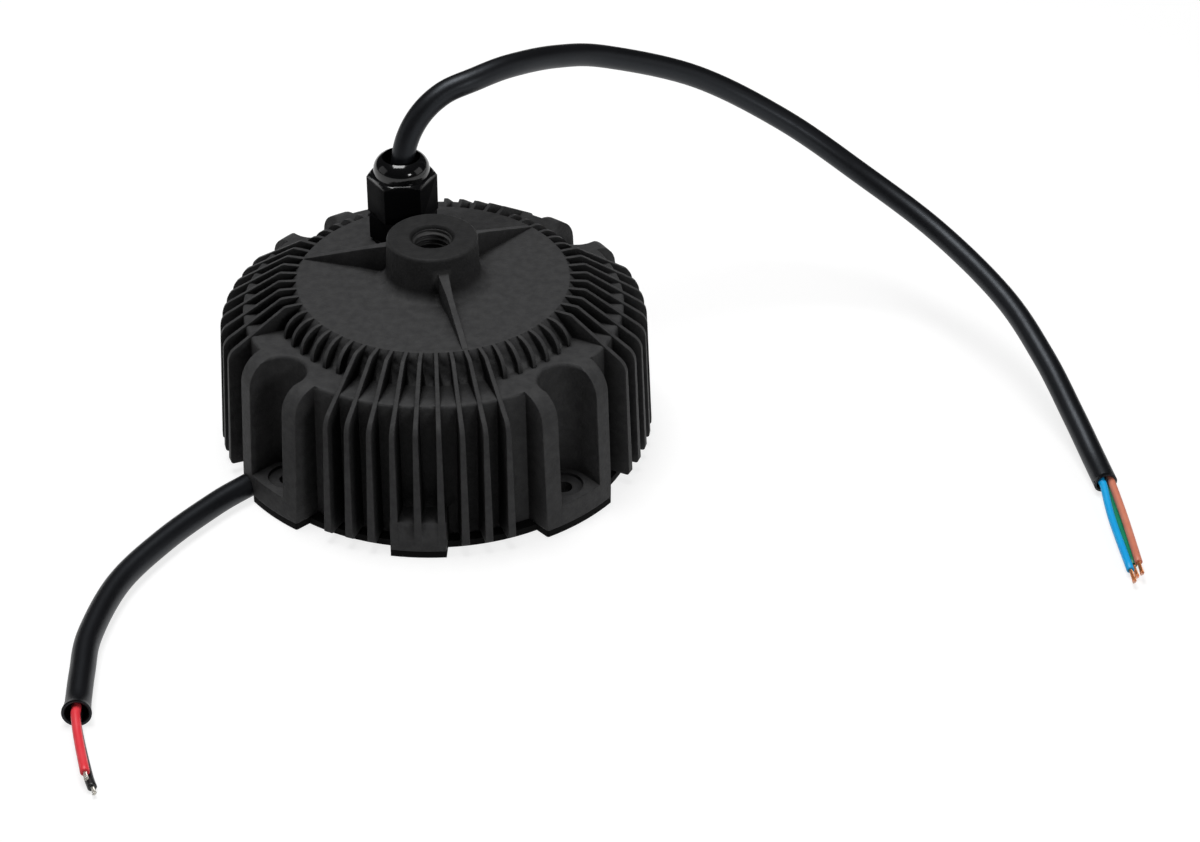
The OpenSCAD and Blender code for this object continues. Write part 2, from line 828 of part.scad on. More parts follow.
module gland_nut() {
    corner_r = gland_af / cos(30) / 2;
    color("#161617")
    translate([gland_x, gland_y, 0])
        difference() {
            union() {
                intersection() {
                    translate([0, 0, nut_z])
                        hexagon(gland_af, nut_hex_h, nut_turn);
                    translate([0, 0, nut_z - sink])
                        cylinder(r1 = corner_r - scallop + 1.4 * (nut_hex_h + sink),
                                 r2 = corner_r - scallop, h = nut_hex_h + sink);
                }
                rotate_extrude()
                    polygon(dome_outline);
            }
            translate([0, 0, nut_z - sink])
                cylinder(d = gland_thread_d + 2 * fit, h = spigot_top - nut_z + sink + fit);
            translate([0, 0, nut_z])
                cylinder(r = seal_r + fit, h = seal_top - nut_z + fit);
            translate([0, 0, nut_z])
                cylinder(d = mouth_d, h = gland_top);
        }
}

module input_cable() {
    color("#121214")
    tube(input_route, cable_d, 12, 3);
}

// Insulated wire, and the bare end that goes on from it
module wire(route, d) {
    tube(route, d, 8, 3);
}

module bare_end(route, length) {
    way = unit(last(route) - route[len(route) - 2]);
    tube([last(route), last(route) + way * length / 2, last(route) + way * length], strand_d, 8, 1);
}

module live_wire() {
    color("#c9765c")
    wire(live_route, input_wire_d);
}

module neutral_wire() {
    color("#1598e8")
    wire(neutral_route, input_wire_d);
}

module earth_wire() {
    color("#0b7a55")
    wire(earth_route, input_wire_d);
}

module input_strands() {
    color("#c77b45")
    for (route = [live_route, neutral_route, earth_route])
        bare_end(route, input_bare);
}

module output_bush() {
    color("#0d0d0e")
    difference() {
        intersection() {
            exit_arch(cable_r + bush_t, exit_start, exit_step - seat);
            translate([-body_r, -body_r, fit])
                cube([body_d, body_d, body_d]);
        }
        exit_arch(cable_r + fit, exit_start - 6, body_d);
    }
}

module output_cable() {
    color("#121214")
    tube(output_route, cable_d, 12, 3);
}

module positive_wire() {
    color("#e8333c")
    wire(positive_route, output_wire_d);
}

module negative_wire() {
    color("#17171a")
    wire(negative_route, output_wire_d);
}

module output_strands() {
    color("#c9c6bd")
    for (route = [positive_route, negative_route])
        bare_end(route, output_bare);
}

housing();
base_gasket();
base_cover();
cover_screws();
insulating_sheet();
circuit_board();
board_screws();
fuse();
input_choke_core();
input_choke_windings();
film_capacitors();
bridge_rectifier();
boost_inductor();
bulk_capacitors();
switch_transistors();
transformer_core();
transformer_bobbin();
output_diodes();
output_capacitors();
control_chip();
gland_washer();
gland_body();
gland_seal();
gland_nut();
input_cable();
live_wire();
neutral_wire();
earth_wire();
input_strands();
output_bush();
output_cable();
positive_wire();
negative_wire();
output_strands();
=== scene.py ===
import json
import math
import bmesh
import bpy
import numpy as np
from mathutils import Matrix


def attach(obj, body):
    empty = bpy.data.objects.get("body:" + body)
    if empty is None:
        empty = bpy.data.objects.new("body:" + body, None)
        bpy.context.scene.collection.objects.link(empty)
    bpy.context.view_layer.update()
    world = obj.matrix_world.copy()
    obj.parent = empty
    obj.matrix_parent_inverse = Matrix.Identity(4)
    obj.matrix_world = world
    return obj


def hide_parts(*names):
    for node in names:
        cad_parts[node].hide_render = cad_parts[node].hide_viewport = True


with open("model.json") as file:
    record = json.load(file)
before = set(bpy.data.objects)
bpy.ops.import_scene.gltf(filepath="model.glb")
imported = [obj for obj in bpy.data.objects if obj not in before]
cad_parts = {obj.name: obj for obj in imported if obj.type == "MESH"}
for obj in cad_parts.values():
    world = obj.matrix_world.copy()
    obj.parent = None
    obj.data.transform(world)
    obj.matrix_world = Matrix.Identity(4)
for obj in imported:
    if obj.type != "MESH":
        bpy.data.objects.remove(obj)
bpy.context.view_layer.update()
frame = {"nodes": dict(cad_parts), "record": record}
nodes = frame["nodes"]
mm = 0.001
bpy.context.scene.view_settings.view_transform = "Standard"
print("frame loaded:", len(nodes), "nodes")

# the viewing angle of the photograph: distances in millimetres, the focal length and the slide in pixels
shot = {"focal": 2609.68, "frameWidth": 1200, "distance": 838.996, "elevation": 35.496, "azimuth": 1.578,
        "roll": 0.702, "slide": (-164.292, 72.011), "aim": (0.0, 0.0, 30.0), "sensor": 36.0, "clip": (0.01, 50.0)}


# the camera stands back from the aim along the two angles, rolls about its line of sight and slides in its own plane
def placeCamera(s):
    e, a, r = (math.radians(s[k]) for k in ("elevation", "azimuth", "roll"))
    back = np.array([math.sin(a) * math.cos(e), -math.cos(a) * math.cos(e), math.sin(e)])
    level = np.array([math.cos(a), math.sin(a), 0.0])
    right = level * math.cos(r) + np.cross(back, level) * math.sin(r)
    up = np.cross(back, right)
    perPixel = s["distance"] / s["focal"]
    place = np.array(s["aim"]) + back * s["distance"] - (right * s["slide"][0] + up * s["slide"][1]) * perPixel
    lens = bpy.data.cameras.new("camera")
    lens.sensor_fit, lens.sensor_width = "HORIZONTAL", s["sensor"]
    lens.lens = s["sensor"] * s["focal"] / s["frameWidth"]
    lens.clip_start, lens.clip_end = s["clip"]
    holder = bpy.data.objects.new("camera", lens)
    bpy.context.scene.collection.objects.link(holder)
    holder.matrix_world = Matrix([[right[i], up[i], back[i], place[i] * mm] for i in range(3)] + [[0, 0, 0, 1]])
    bpy.context.scene.camera = holder


placeCamera(shot)
print("camera placed")


# a mesh from points in metres and faces, with one UV for each corner of each face
def newPiece(name, points, faces, uv=None, smooth=True):
    mesh = bpy.data.meshes.new(name)
    mesh.from_pydata(points.reshape(-1, 3).tolist(), [], faces)
    if uv is not None:
        layer = mesh.uv_layers.new(name="UVMap")
        layer.data.foreach_set("uv", uv.astype(np.float32).ravel())
    mesh.polygons.foreach_set("use_smooth", np.full(len(mesh.polygons), smooth))
    mesh.update()
    piece = bpy.data.objects.new(name, mesh)
    bpy.context.scene.collection.objects.link(piece)
    return piece


# quads of a grid of rows by cols points, closed round the columns, with a UV of (turn, row value) at each corner
def ringQuads(rows, cols, rowValue, offset=0):
    i, j = np.meshgrid(np.arange(rows - 1), np.arange(cols), indexing="ij")
    k = (j + 1) % cols
    quads = np.stack([i * cols + j, i * cols + k, (i + 1) * cols + k, (i + 1) * cols + j], axis=-1)
    u = np.stack([j, j + 1, j + 1, j], axis=-1) / cols
    v = rowValue[np.stack([i, i, i + 1, i + 1], axis=-1)]
    return quads.reshape(-1, 4) + offset, np.stack([u, v], axis=-1).reshape(-1, 4, 2)


# Catmull-Rom curve: each stretch is the cubic through two points whose slopes come from their neighbours
def smoothRoute(points, steps):
    p = np.asarray(points, float)
    p = np.vstack([2 * p[0] - p[1], p, 2 * p[-1] - p[-2]])
    t = (np.arange(steps) / steps)[None, :, None]
    a, b, c, d = (p[k:len(p) - 3 + k][:, None, :] for k in range(4))
    curve = 0.5 * (2 * b + (c - a) * t + (2 * a - 5 * b + 4 * c - d) * t ** 2 + (3 * b - a - 3 * c + d) * t ** 3)
    return np.vstack([curve.reshape(-1, 3), p[-2]])


# frames carried along a path without twisting: each side axis is the last one, turned square to the new direction
def pathFrames(path):
    way = np.gradient(path, axis=0)
    way /= np.linalg.norm(way, axis=1)[:, None]
    side = np.zeros_like(way)
    start = np.cross(way[0], (0.0, 0.0, 1.0) if abs(way[0][2]) < 0.9 else (0.0, 1.0, 0.0))
    side[0] = start / np.linalg.norm(start)
    for i in range(1, len(path)):
        s = side[i - 1] - way[i] * np.dot(side[i - 1], way[i])
        side[i] = s / np.linalg.norm(s)
    return way, side, np.cross(side, way)


# a vector divided by its own length
def unit(v):
    return v / np.linalg.norm(v)


# the sum of the steps from point to point
def pathLength(path):
    return float(np.linalg.norm(np.diff(path, axis=0), axis=1).sum())


# tube: circles of the given radii, each square to the path where it stands; extra rings after the path's end
# take the last frame and are set along it by endShift
def tubeGrid(path, radii, sides, endShift=()):
    way, side, above = pathFrames(path)
    pick = np.concatenate([np.arange(len(path)), np.full(len(endShift), len(path) - 1)])
    centre = path[pick].astype(float)
    if len(endShift):
        centre[len(path):] += way[-1] * np.asarray(endShift)[:, None]
    turn = np.linspace(0, 2 * np.pi, sides, endpoint=False)
    ring = side[pick][:, None, :] * np.cos(turn)[None, :, None]
    ring = ring + above[pick][:, None, :] * np.sin(turn)[None, :, None]
    return centre[:, None, :] + np.asarray(radii)[:, None, None] * ring


# tubes in one mesh, each closed by a cap at both ends, with V running along the tube's middle line
def tubePiece(name, grids):
    points, quads, uvs, caps, base = [], [], [], [], 0
    for grid in grids:
        rows, cols = grid.shape[:2]
        run = np.concatenate([[0], np.cumsum(np.linalg.norm(np.diff(grid.mean(axis=1), axis=0), axis=1))])
        q, uv = ringQuads(rows, cols, run, base)
        quads += q.tolist()
        uvs.append(uv.reshape(-1, 2))
        caps.append(list(range(base + cols - 1, base - 1, -1)))
        caps.append(list(range(base + (rows - 1) * cols, base + rows * cols)))
        points.append(grid.reshape(-1, 3))
        base += rows * cols
    uv = np.vstack(uvs + [np.zeros((sum(len(c) for c in caps), 2))])
    return newPiece(name, np.vstack(points) * mm, quads + caps, uv)


# the two cables, each through the same points as the part's own route
glandAxis = (-11.6643, 25.0141)
inputLead = {"diameter": 7.5, "sides": 36, "steps": 10, "hollow": 1.2, "flare": 0.0,
             "points": [(*glandAxis, 67.0), (*glandAxis, 80.1), (-10, 27.5, 90.5), (-5.5, 31, 98.5),
                        (1.5, 35, 104), (10.5, 39.5, 106.5), (21.5, 48.5, 107), (36, 63.5, 103), (52, 76.5, 96.5),
                        (82, 90.5, 82.5), (112, 94, 65), (139, 88, 48.5), (165, 71, 36.5), (186, 44, 28),
                        (198, 20, 20), (206.5, 0, 11), (211.5, -15, 6), (214.5, -27, 4)],
             "exit": (*glandAxis, 86.9)}
outputLead = {"diameter": 7.5, "sides": 36, "steps": 10, "hollow": 3.0, "flare": 0.55,
              "points": [(-47.376, -31.82, 3.85), (-57.983, -42.426, 3.85), (-66, -52, 3.85), (-78, -70, 3.85),
                         (-88, -91, 3.85), (-92, -115, 3.85), (-91, -132, 3.85), (-89, -150, 3.85)],
              "exit": (-57.3, -41.7, 3.85)}


# the cut end of a jacket: shares of the tip's radius with distances along the cable, out over the rim and back inside
cutEnd = {"flareOver": 6.0, "rim": ((1.0, 0.1), (0.97, 0.4), (0.9, 0.5), (0.8, 0.42), (0.76, 0.1), (0.74, -0.4)),
          "bore": 0.72, "back": 0.5}


# jacket: a round tube that opens by the flare over its last stretch, as the square of the way along it; its cut end
# rolls over the rim and goes back inside round the cores by the depth of the hollow
def jacketPiece(name, lead):
    path = smoothRoute(lead["points"], lead["steps"])
    r = lead["diameter"] / 2
    left = np.concatenate([np.cumsum(np.linalg.norm(np.diff(path, axis=0), axis=1)[::-1])[::-1], [0.0]])
    body = r + lead["flare"] * np.clip(1 - left / cutEnd["flareOver"], 0, 1) ** 2
    tip = r + lead["flare"]
    end = np.array(cutEnd["rim"] + ((cutEnd["bore"], -lead["hollow"]),)) * (tip, 1)
    lying = path.copy()
    lying[:, 2] += body - r  # the flare opens upwards, off the table
    radii = np.concatenate([body, end[:, 0]])
    return tubePiece(name, [tubeGrid(lying, radii, lead["sides"], end[:, 1] - cutEnd["back"])]), path


inputJacket, inputPath = jacketPiece("inputJacket", inputLead)
outputJacket, outputPath = jacketPiece("outputJacket", outputLead)

# cores leave the cut end of their cable, and each ends in a bundle of bare strands
cores = {
    "neutralCore": {"node": "neutral_wire", "path": inputPath, "shift": (1.5, 0.8), "diameter": 2.4,
                    "slot": "blue_insulation", "points": [(214.5, -44, 2.8), (217, -69, 2.6)],
                    "bare": 6.0, "metal": "bare_copper"},
    "liveCore": {"node": "live_wire", "path": inputPath, "shift": (-1.5, 0.8), "diameter": 2.4,
                 "slot": "brown_insulation", "points": [(218.4, -44, 3.2), (219.8, -66, 3.3)],
                 "bare": 6.0, "metal": "bare_copper"},
    "earthCore": {"node": "earth_wire", "path": inputPath, "shift": (0.0, -1.6), "diameter": 2.4,
                  "slot": "green_insulation", "points": [(216.8, -44, 1.3), (218.6, -65, 1.25)],
                  "bare": 6.0, "metal": "bare_copper"},
    "positiveCore": {"node": "positive_wire", "path": outputPath, "shift": (0.0, 1.4), "diameter": 2.7,
                     "slot": "red_insulation", "points": [(-86.5, -160, 4.3), (-82, -173.5, 4.2)],
                     "bare": 3.0, "metal": "tinned_copper"},
    "negativeCore": {"node": "negative_wire", "path": outputPath, "shift": (0.0, -1.4), "diameter": 2.7,
                     "slot": "black_insulation",
                     "points": [(-86.1, -160, 1.5), (-81.7, -172, 1.45), (-79.7, -176.5, 1.45)],
                     "bare": 3.0, "metal": "tinned_copper"},
}
corePlan = {"straight": (-2.2, 0.05, 2), "steps": 8, "sides": 18, "endRadii": (0.9, 0.72, 0.6),
            "endShift": (0.12, 0.18, 0.1)}
strandPlan = {"rings": ((0, 1), (0.24, 5), (0.46, 9)), "wire": 0.115, "twist": 0.55, "splay": 0.35, "uneven": 0.06,
              "order": (7.0, 11.0), "bite": 0.4, "steps": 12, "sides": 6}


# the direction in which a path ends, and the two directions square to it
def endFrame(path):
    way = unit(path[-1] - path[-2])
    across = unit(np.cross(way, (0, 0, 1)))
    return way, across, np.cross(across, way)


# insulation: a tube that leaves the cable straight and whose cut end rolls in to the strands
def corePiece(name, core):
    p = corePlan
    cable = core["path"]
    way, across, above = endFrame(cable)
    start = cable[-1] + across * core["shift"][0] + above * core["shift"][1]
    path = smoothRoute([*[start + way * step for step in p["straight"]], *core["points"]], p["steps"])
    r = core["diameter"] / 2
    radii = np.concatenate([np.full(len(path), r), np.array(p["endRadii"]) * r])
    return tubePiece(name, [tubeGrid(path, radii, p["sides"], p["endShift"])]), path


# strands: fine wires on helices round the core's line, which open with the cube of the way to the tip and end unevenly
def strandGrids(core, path):
    p = strandPlan
    way, across, above = endFrame(path)
    s = np.linspace(0, 1, p["steps"])
    grids = []
    for radius, count in p["rings"]:
        for n in range(count):
            lag = p["uneven"] * math.sin(p["order"][0] * n + p["order"][1] * radius)
            angle = 2 * np.pi * n / count + p["twist"] * 2 * np.pi * s
            r = radius * (1 + p["splay"] * s ** 3)
            line = path[-1] + way * (s * (1 + lag) * core["bare"] - p["bite"])[:, None] \
                + across * (r * np.cos(angle))[:, None] + above * (r * np.sin(angle))[:, None]
            grids.append(tubeGrid(line, np.full(len(s), p["wire"]), p["sides"]))
    return grids


corePieces, strandGroups = {}, {}
for name, core in cores.items():
    corePieces[name], line = corePiece(name, core)
    strandGroups.setdefault(core["metal"], []).extend(strandGrids(core, line))
inputStrands = tubePiece("inputStrands", strandGroups["bare_copper"])
outputStrands = tubePiece("outputStrands", strandGroups["tinned_copper"])
print("cables made: input %.0f mm, output %.0f mm" % (pathLength(inputPath), pathLength(outputPath)))

# castings and mouldings: angles in degrees past which an edge stays sharp and under which faces count as flat
smoothCopies = {"castHousing": {"node": "housing", "sharp": 24, "flat": 0.2},
                "glandCap": {"node": "gland_nut", "sharp": 30, "flat": 0.2},
                "glandBase": {"node": "gland_body", "sharp": 30, "flat": 0.2},
                "rubberGasket": {"node": "base_gasket", "sharp": 30, "flat": 0.2}}
weldDistance = 2e-6


# a copy of the part's own solid, merged, with its flat faces joined and its rounds shaded smooth
def smoothCopy(name, plan):
    mesh = nodes[plan["node"]].data.copy()
    mesh.name = name
    work = bmesh.new()
    work.from_mesh(mesh)
    bmesh.ops.remove_doubles(work, verts=work.verts, dist=weldDistance)
    bmesh.ops.dissolve_limit(work, angle_limit=math.radians(plan["flat"]), verts=work.verts, edges=work.edges)
    work.to_mesh(mesh)
    work.free()
    mesh.polygons.foreach_set("use_smooth", np.full(len(mesh.polygons), True))
    mesh.set_sharp_from_angle(angle=math.radians(plan["sharp"]))
    piece = bpy.data.objects.new(name, mesh)
    bpy.context.scene.collection.objects.link(piece)
    even = piece.modifiers.new("evenNormals", "WEIGHTED_NORMAL")
    even.keep_sharp = True
    return piece


copies = {name: smoothCopy(name, plan) for name, plan in smoothCopies.items()}
print("smooth copies made:", {name: len(piece.data.polygons) for name, piece in copies.items()})

# thread in the boss: the radius falls from root to crest in a saw of one pitch, which also runs round with the turn;
# the ridge fades in over the first and last turn, and an outer wall inside the metal closes the sleeve
bossThread = {"root": 6.19, "crest": 5.45, "outer": 6.6, "low": 59.6, "high": 71.3, "pitch": 1.75, "crown": 1.35,
              "flank": 2.7, "perPitch": 12, "sides": 72}


def threadPiece(name, s):
    rows = int((s["high"] - s["low"]) / s["pitch"] * s["perPitch"])
    z = np.linspace(s["low"], s["high"], rows)[:, None]
    turn = np.linspace(0, 2 * np.pi, s["sides"], endpoint=False)[None, :]
    phase = (z / s["pitch"] - turn / (2 * np.pi)) % 1.0
    ridge = np.clip(s["crown"] - s["flank"] * np.abs(phase - 0.5), 0, 1)
    fade = np.clip(np.minimum(z - s["low"], s["high"] - z) / s["pitch"], 0, 1)
    r = s["root"] - (s["root"] - s["crest"]) * ridge * fade
    inner = np.stack([r * np.cos(turn), r * np.sin(turn), z + 0 * turn], axis=-1)
    outer = np.stack([s["outer"] * np.cos(turn), s["outer"] * np.sin(turn), 0 * turn], axis=-1)
    grid = np.concatenate([outer + (0, 0, s["low"]), inner, outer + (0, 0, s["high"])])
    grid = np.concatenate([grid, grid[:1]])[::-1]
    quads, uv = ringQuads(len(grid), s["sides"], np.linspace(0, 1, len(grid)))
    return newPiece(name, grid * mm, quads.tolist(), uv.reshape(-1, 2))


boreThread = threadPiece("boreThread", bossThread)
print("thread made")

for piece, node, slot in [(inputJacket, "input_cable", "cable_jacket"),
                          (outputJacket, "output_cable", "cable_jacket"),
                          (inputStrands, "input_strands", "bare_copper"),
                          (outputStrands, "output_strands", "tinned_copper"),
                          (copies["castHousing"], "housing", "cast_housing"),
                          (copies["glandCap"], "gland_nut", "black_nylon"),
                          (copies["glandBase"], "gland_body", "black_nylon"),
                          (copies["rubberGasket"], "base_gasket", "black_rubber"),
                          *[(corePieces[n], c["node"], c["slot"]) for n, c in cores.items()]]:
    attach(piece, "root")
    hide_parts(node)
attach(boreThread, "root")
print("pieces set on the body")


# display colour to scene colour, by the usual display curve
def linear(rgb):
    c = np.asarray(rgb, float)
    return tuple(np.where(c <= 0.04045, c / 12.92, ((c + 0.055) / 1.055) ** 2.4)) + (1.0,)


# puts each value on the node's socket of that name
def setSockets(node, values):
    for socket, value in values.items():
        node.inputs[socket].default_value = value


# what the shared effects have in common wherever they are used
effectPlan = {"fine": {"Detail": 3.0, "Roughness": 0.6}, "broad": {"Detail": 4.0, "Roughness": 0.55},
              "patchRange": {"From Min": 0.35, "From Max": 0.65}, "openRange": {"From Min": 0.29, "From Max": 0.68},
              "recessSamples": 8, "edgeSamples": 6}


# an empty node group with its named sockets, and the nodes through which values enter and leave it
def openGroup(name, inputs, outputs):
    group = bpy.data.node_groups.new(name, "ShaderNodeTree")
    for side, sockets in (("INPUT", inputs), ("OUTPUT", outputs)):
        for label, kind in sockets:
            group.interface.new_socket(name=label, in_out=side, socket_type="NodeSocket" + kind)
    return group, group.nodes.new("NodeGroupInput"), group.nodes.new("NodeGroupOutput")


# grain: two noises of the given sizes, put out as a height and as a slow patch mask
def makeGrainGroup():
    group, enter, leave = openGroup("surfaceGrain", [("Vector", "Vector"), ("Grain", "Float"), ("Patch", "Float")],
                                    [("Height", "Float"), ("Mask", "Float")])
    n, link = group.nodes, group.links.new
    fine, broad, spread = n.new("ShaderNodeTexNoise"), n.new("ShaderNodeTexNoise"), n.new("ShaderNodeMapRange")
    setSockets(fine, effectPlan["fine"])
    setSockets(broad, effectPlan["broad"])
    setSockets(spread, effectPlan["patchRange"])
    for noise, size in ((fine, "Grain"), (broad, "Patch")):
        link(enter.outputs["Vector"], noise.inputs["Vector"])
        link(enter.outputs[size], noise.inputs["Scale"])
    link(broad.outputs["Fac"], spread.inputs["Value"])
    link(fine.outputs["Fac"], leave.inputs["Height"])
    link(spread.outputs["Result"], leave.inputs["Mask"])
    return group


# recess: a painted shade, how open the surface is within the reach, spread between the share kept in the narrowest
# places and one
def makeRecessGroup():
    group, enter, leave = openGroup("recessShade", [("Reach", "Float"), ("Kept", "Float")], [("Share", "Float")])
    n, link = group.nodes, group.links.new
    shut, keep = n.new("ShaderNodeAmbientOcclusion"), n.new("ShaderNodeMapRange")
    shut.samples, shut.only_local = effectPlan["recessSamples"], True
    setSockets(keep, effectPlan["openRange"])
    link(enter.outputs["Reach"], shut.inputs["Distance"])
    link(enter.outputs["Kept"], keep.inputs["To Min"])
    link(shut.outputs["AO"], keep.inputs["Value"])
    link(keep.outputs["Result"], leave.inputs["Share"])
    return group


# band: the distance from the origin over the axes that are kept, spread between two shares from the low to the high
# distance; the third axis alone gives a height, and the first two a radius
def makeBandGroup():
    names = {"Low": "From Min", "High": "From Max", "Start": "To Min", "End": "To Max"}
    group, enter, leave = openGroup("distanceBand", [("Vector", "Vector"), ("Axes", "Vector"),
                                                     *[(label, "Float") for label in names]], [("Share", "Float")])
    n, link = group.nodes, group.links.new
    pick, far, band = n.new("ShaderNodeVectorMath"), n.new("ShaderNodeVectorMath"), n.new("ShaderNodeMapRange")
    pick.operation, far.operation = "MULTIPLY", "LENGTH"
    for label, socket in names.items():
        link(enter.outputs[label], band.inputs[socket])
    link(enter.outputs["Vector"], pick.inputs[0])
    link(enter.outputs["Axes"], pick.inputs[1])
    link(pick.outputs["Vector"], far.inputs[0])
    link(far.outputs["Value"], band.inputs["Value"])
    link(band.outputs["Result"], leave.inputs["Share"])
    return group


# soft edge: the surface's direction, averaged over the given radius
def makeEdgeGroup():
    group, enter, leave = openGroup("softEdge", [("Radius", "Float")], [("Normal", "Vector")])
    edge = group.nodes.new("ShaderNodeBevel")
    edge.samples = effectPlan["edgeSamples"]
    group.links.new(enter.outputs["Radius"], edge.inputs["Radius"])
    group.links.new(edge.outputs["Normal"], leave.inputs["Normal"])
    return group


effects = {"grain": makeGrainGroup(), "recess": makeRecessGroup(), "band": makeBandGroup(), "edge": makeEdgeGroup()}


# a finish mixes two close colours by the patch mask, spreads the roughness with the grain and bumps by it; soft is the
# radius over which sharp edges are shaded round, the recess shade the reach and the depth of a painted shade in narrow
# places, the boss shade the radii between which the boss ends and its share of the colour, a painted shade on the
# boss, and gloss the heights between which a polished skin starts and the roughness of that skin
def makeFinish(name, colour, second, rough, grain, patch, bump, metal=0.0, specular=0.5, tint=(1, 1, 1), soft=0.0,
               recess=None, bossShade=None, gloss=None, stretch=(1, 1, 1)):
    mat = bpy.data.materials.new(name)
    mat.use_nodes = True
    n, link = mat.node_tree.nodes, mat.node_tree.links.new
    shader = n["Principled BSDF"]
    setSockets(shader, {"Metallic": metal, "Specular IOR Level": specular, "Specular Tint": (*tint, 1.0)})
    where, turn = n.new("ShaderNodeTexCoord"), n.new("ShaderNodeMapping")
    setSockets(turn, {"Scale": stretch})
    link(where.outputs["Object"], turn.inputs["Vector"])

    def place(effect, **values):  # sets an effect into this material, with its own values
        node = n.new("ShaderNodeGroup")
        node.node_tree = effects[effect]
        setSockets(node, values)
        return node

    def byDistance(axes, low, high, start, end):  # a band over this material's own coordinates
        band = place("band", Axes=axes, Low=low, High=high, Start=start, End=end)
        link(where.outputs["Object"], band.inputs["Vector"])
        return band.outputs["Share"]

    skin = place("grain", Grain=grain, Patch=patch)
    link(turn.outputs["Vector"], skin.inputs["Vector"])
    tone = n.new("ShaderNodeMix")
    tone.data_type = "RGBA"
    first, other = [socket for socket in tone.inputs if socket.type == "RGBA"]
    first.default_value, other.default_value = linear(colour), linear(second)
    link(skin.outputs["Mask"], tone.inputs["Factor"])
    shade, dim = [socket for socket in tone.outputs if socket.type == "RGBA"][0], []
    # painted shade: the colour is darkened where the surface is shut in, in narrow places
    if recess:
        dim.append(place("recess", Reach=recess[0], Kept=1.0 - recess[1]).outputs["Share"])
    # painted shade: the colour is darkened on the boss, within the given radius of the middle
    if bossShade:
        dim.append(byDistance((1, 1, 0), bossShade[0], bossShade[1], bossShade[2], 1.0))
    for share in dim:
        darker = n.new("ShaderNodeVectorMath")
        darker.operation = "SCALE"
        link(shade, darker.inputs[0])
        link(share, darker.inputs["Scale"])
        shade = darker.outputs["Vector"]
    link(shade, shader.inputs["Base Color"])
    dull = n.new("ShaderNodeMapRange")
    setSockets(dull, {"To Min": rough[0], "To Max": rough[1]})
    link(skin.outputs["Height"], dull.inputs["Value"])
    link(dull.outputs["Result"], shader.inputs["Roughness"])
    if gloss:
        setSockets(shader, {"Coat Roughness": gloss[2]})
        link(byDistance((0, 0, 1), gloss[0], gloss[1], 0.0, 1.0), shader.inputs["Coat Weight"])
    dent = n.new("ShaderNodeBump")
    setSockets(dent, {"Strength": 1.0, "Distance": bump})
    link(skin.outputs["Height"], dent.inputs["Height"])
    if soft:
        link(place("edge", Radius=soft).outputs["Normal"], dent.inputs["Normal"])
    link(dent.outputs["Normal"], shader.inputs["Normal"])
    return mat


